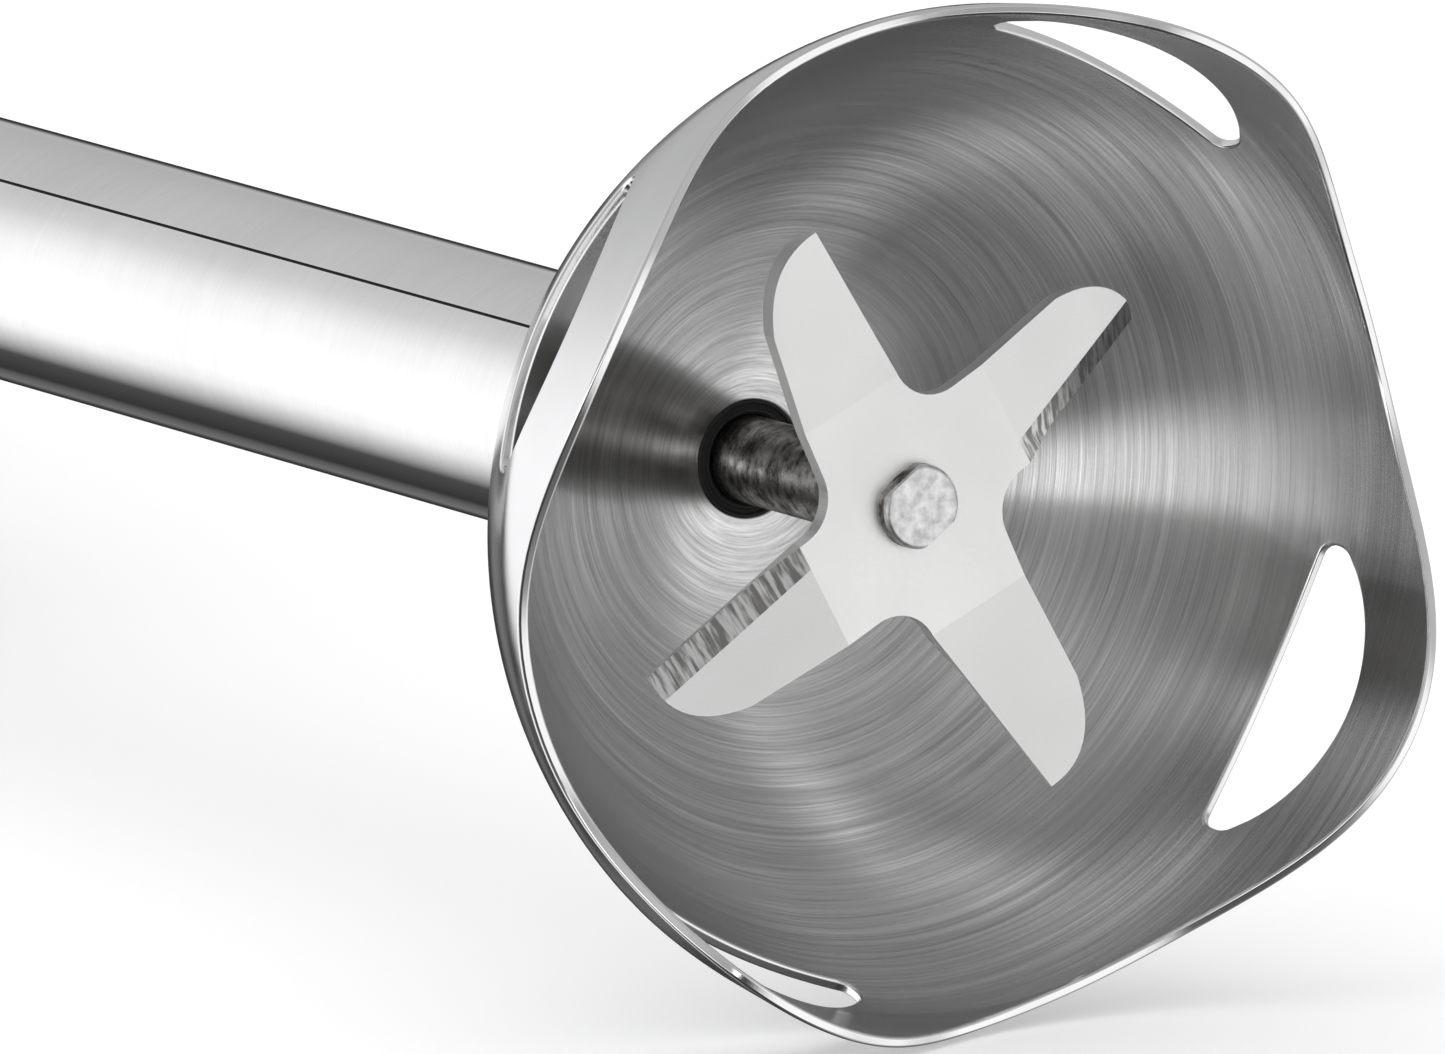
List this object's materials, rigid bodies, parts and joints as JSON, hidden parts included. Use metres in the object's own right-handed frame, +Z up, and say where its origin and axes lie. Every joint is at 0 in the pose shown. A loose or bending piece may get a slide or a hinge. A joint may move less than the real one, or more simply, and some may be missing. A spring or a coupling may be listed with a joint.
{
  "type": "immersion blender",
  "caption": "Hand-held immersion blender: slotted steel bell with a wavy rim, bent knife, twist-lock leg, motor handle with press buttons and a speed dial.",
  "frame": {"origin": "on the surface the blender lies on, under the middle of its length and width", "axes": "+Y along the drive shaft from the bell to the cord inlet, +Z up towards the buttons, +X completes the right-handed set"},
  "size_m": [0.0706, 0.399, 0.0708],
  "materials": {
    "bell_steel": "polished outside, circular brushing inside",
    "tube_steel": "satin",
    "knife_steel": "ground and tumbled",
    "shaft_steel": "turned",
    "seal_rubber": "moulded",
    "bronze": "sintered",
    "inner_plastic": "glass-filled",
    "bearing_steel": "ground",
    "collar_plastic": "fine spark-eroded texture",
    "trim_steel": "polished",
    "spring_steel": "zinc-plated",
    "housing_plastic": "satin moulded",
    "panel_plastic": "gloss",
    "grip_rubber": "soft-touch",
    "button_plastic": "soft-touch",
    "dial_plastic": "ribbed",
    "gland_rubber": "moulded",
    "board_green": "solder mask",
    "component_black": "moulded",
    "core_steel": "laminated",
    "copper": "enamelled wire",
    "mount_rubber": "moulded",
    "holder_brass": "pressed",
    "carbon": "sintered"
  },
  "bodies": {
    "motor_unit": {"housing_front": "housing_plastic", "housing_rear": "housing_plastic", "button_panel": "panel_plastic", "grip_left": "grip_rubber", "grip_right": "grip_rubber", "housing_screws": "spring_steel", "lower_socket": "inner_plastic", "end_cap": "housing_plastic", "cord_gland": "gland_rubber", "button_plate": "inner_plastic", "circuit_board": "board_green", "board_parts": "component_black", "dial_potentiometer": "inner_plastic", "power_switch": "inner_plastic", "turbo_switch": "inner_plastic", "power_spring": "spring_steel", "turbo_spring": "spring_steel", "motor_stator": "core_steel", "field_coils": "copper", "lower_bracket": "inner_plastic", "upper_bracket": "inner_plastic", "lower_motor_bearing": "bearing_steel", "upper_motor_bearing": "bearing_steel", "lower_mount_ring": "mount_rubber", "upper_mount_ring": "mount_rubber", "brush_holders": "holder_brass", "carbon_brushes": "carbon", "brush_springs": "spring_steel", "motor_screws": "spring_steel"},
    "leg": {"bell_guard": "bell_steel", "leg_tube": "tube_steel", "shaft_seal": "seal_rubber", "lower_bush": "bronze", "bearing_carrier": "inner_plastic", "middle_guide": "inner_plastic", "upper_bearing": "bearing_steel", "leg_collar": "collar_plastic", "collar_ring": "trim_steel", "collar_seal": "seal_rubber"},
    "spindle": {"drive_shaft": "shaft_steel", "knife": "knife_steel", "leg_coupler": "inner_plastic", "coupler_pin": "shaft_steel", "shaft_clips": "spring_steel"},
    "rotor": {"armature": "core_steel", "armature_windings": "copper", "commutator": "copper", "motor_shaft": "shaft_steel", "motor_fan": "inner_plastic", "motor_coupler": "inner_plastic"},
    "power_button": {"power_button": "button_plastic", "power_plunger": "button_plastic"},
    "turbo_button": {"turbo_button": "button_plastic", "turbo_plunger": "button_plastic"},
    "speed_dial": {"speed_dial": "dial_plastic", "dial_spindle": "dial_plastic"}
  },
  "joints": [
    {"name": "leg_twist", "type": "hinge", "parent": "motor_unit", "child": "leg", "pos_m": [0, 0.0245, 0.0355], "axis": [0, 1, 0], "range_deg": [0, 30]},
    {"name": "rotor_spin", "type": "hinge", "parent": "motor_unit", "child": "rotor", "pos_m": [0, 0.0735, 0.0355], "axis": [0, 1, 0], "continuous": true},
    {"name": "knife_spin", "type": "hinge", "parent": "motor_unit", "child": "spindle", "pos_m": [0, -0.0995, 0.0355], "axis": [0, 1, 0], "continuous": true},
    {"name": "power_press", "type": "slide", "parent": "motor_unit", "child": "power_button", "axis": [0, 0, -1], "range_m": [0, 0.002], "stiffness_N_per_m": 300, "springref_m": -0.003, "deforming": ["power_spring"]},
    {"name": "turbo_press", "type": "slide", "parent": "motor_unit", "child": "turbo_button", "axis": [0, 0, -1], "range_m": [0, 0.002], "stiffness_N_per_m": 300, "springref_m": -0.003, "deforming": ["turbo_spring"]},
    {"name": "dial_turn", "type": "hinge", "parent": "motor_unit", "child": "speed_dial", "pos_m": [0, 0.1955, 0.0405], "axis": [0, 1, 0], "range_deg": [0, 270]}
  ],
  "couplings": [
    {"joint": "knife_spin", "follows": "rotor_spin", "ratio": 1}
  ]
}
